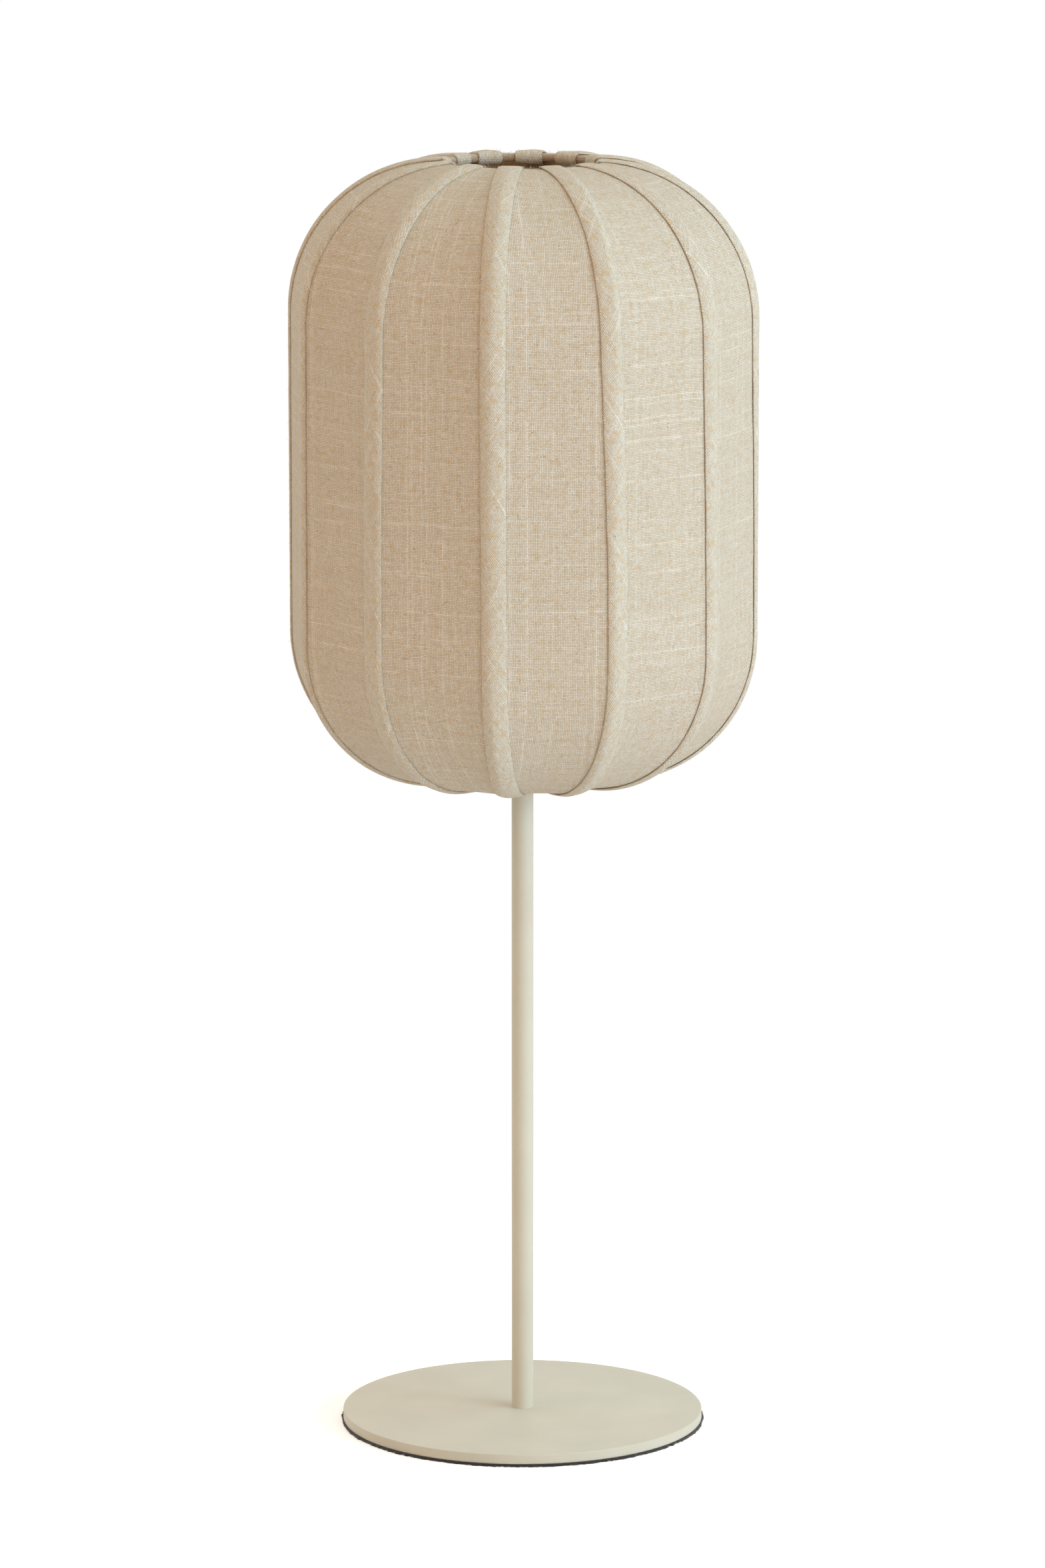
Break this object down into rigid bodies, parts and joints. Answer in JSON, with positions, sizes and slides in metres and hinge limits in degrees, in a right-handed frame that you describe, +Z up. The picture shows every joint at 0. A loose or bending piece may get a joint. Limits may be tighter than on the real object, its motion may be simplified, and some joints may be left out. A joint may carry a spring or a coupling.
{
  "type": "table lamp",
  "caption": "Table lamp with a round flat foot, a slim tube stem and a lantern-shaped shade of linen panels on a wire frame, over a screw-in globe bulb.",
  "frame": {"origin": "middle of the foot's underside, on the surface the lamp stands on", "axes": "+Z up along the stem, -Y towards the front of the picture, cord inlet towards +Y"},
  "size_m": [0.2576, 0.2576, 0.7056],
  "materials": {
    "cream_paint": "satin cream paint",
    "black_felt": "felt",
    "zinc_steel": "bright zinc plate",
    "cream_plastic": "satin plastic",
    "white_plastic": "moulded, satin",
    "brass": "plain brass",
    "bulb_metal": "plain rolled metal",
    "black_glass": "glazed insulator",
    "opal_glass": "opal, satin",
    "frame_wire": "white coated wire",
    "linen": "plain weave linen with slubs",
    "linen_tape": "bias-cut plain weave linen"
  },
  "bodies": {
    "stand": {"base_plate": "cream_paint", "base_pad": "black_felt", "foot_nipple": "zinc_steel", "foot_washer": "zinc_steel", "foot_nut": "zinc_steel", "stem": "cream_paint", "cord_grommet": "cream_plastic", "stem_nipple": "zinc_steel", "holder_cap": "white_plastic", "holder_grub_screw": "zinc_steel", "holder_core": "white_plastic", "terminal_screws": "brass", "screw_shell": "bulb_metal", "centre_contact": "brass", "holder_skirt": "white_plastic", "shade_nut": "white_plastic"},
    "shade": {"shade_fitter": "frame_wire", "fitter_arms": "frame_wire", "shade_top_ring": "frame_wire", "shade_bottom_ring": "frame_wire", "frame_rib_01": "frame_wire", "frame_rib_02": "frame_wire", "frame_rib_03": "frame_wire", "frame_rib_04": "frame_wire", "frame_rib_05": "frame_wire", "frame_rib_06": "frame_wire", "frame_rib_07": "frame_wire", "frame_rib_08": "frame_wire", "frame_rib_09": "frame_wire", "frame_rib_10": "frame_wire", "frame_rib_11": "frame_wire", "frame_rib_12": "frame_wire", "linen_panel_01": "linen", "linen_panel_02": "linen", "linen_panel_03": "linen", "linen_panel_04": "linen", "linen_panel_05": "linen", "linen_panel_06": "linen", "linen_panel_07": "linen", "linen_panel_08": "linen", "linen_panel_09": "linen", "linen_panel_10": "linen", "linen_panel_11": "linen", "linen_panel_12": "linen", "seam_tape_01": "linen_tape", "seam_tape_02": "linen_tape", "seam_tape_03": "linen_tape", "seam_tape_04": "linen_tape", "seam_tape_05": "linen_tape", "seam_tape_06": "linen_tape", "seam_tape_07": "linen_tape", "seam_tape_08": "linen_tape", "seam_tape_09": "linen_tape", "seam_tape_10": "linen_tape", "seam_tape_11": "linen_tape", "seam_tape_12": "linen_tape"},
    "bulb_button": {"bulb_contact": "bulb_metal"},
    "bulb": {"bulb_insulator": "black_glass", "bulb_cap": "bulb_metal", "bulb_globe": "opal_glass"}
  },
  "joints": [
    {"name": "shade_turn", "type": "hinge", "parent": "stand", "child": "shade", "pos_m": [0, 0, 0.384], "axis": [0, 0, 1], "continuous": true},
    {"name": "bulb_rise", "type": "slide", "parent": "stand", "child": "bulb_button", "axis": [0, 0, 1], "range_m": [0, 0.0145]},
    {"name": "bulb_turn", "type": "hinge", "parent": "bulb_button", "child": "bulb", "pos_m": [0, 0, 0.386], "axis": [0, 0, 1], "range_deg": [0, 1440]}
  ],
  "couplings": [
    {"joint": "bulb_rise", "follows": "bulb_turn", "m_per_rad": 0.00057614}
  ]
}
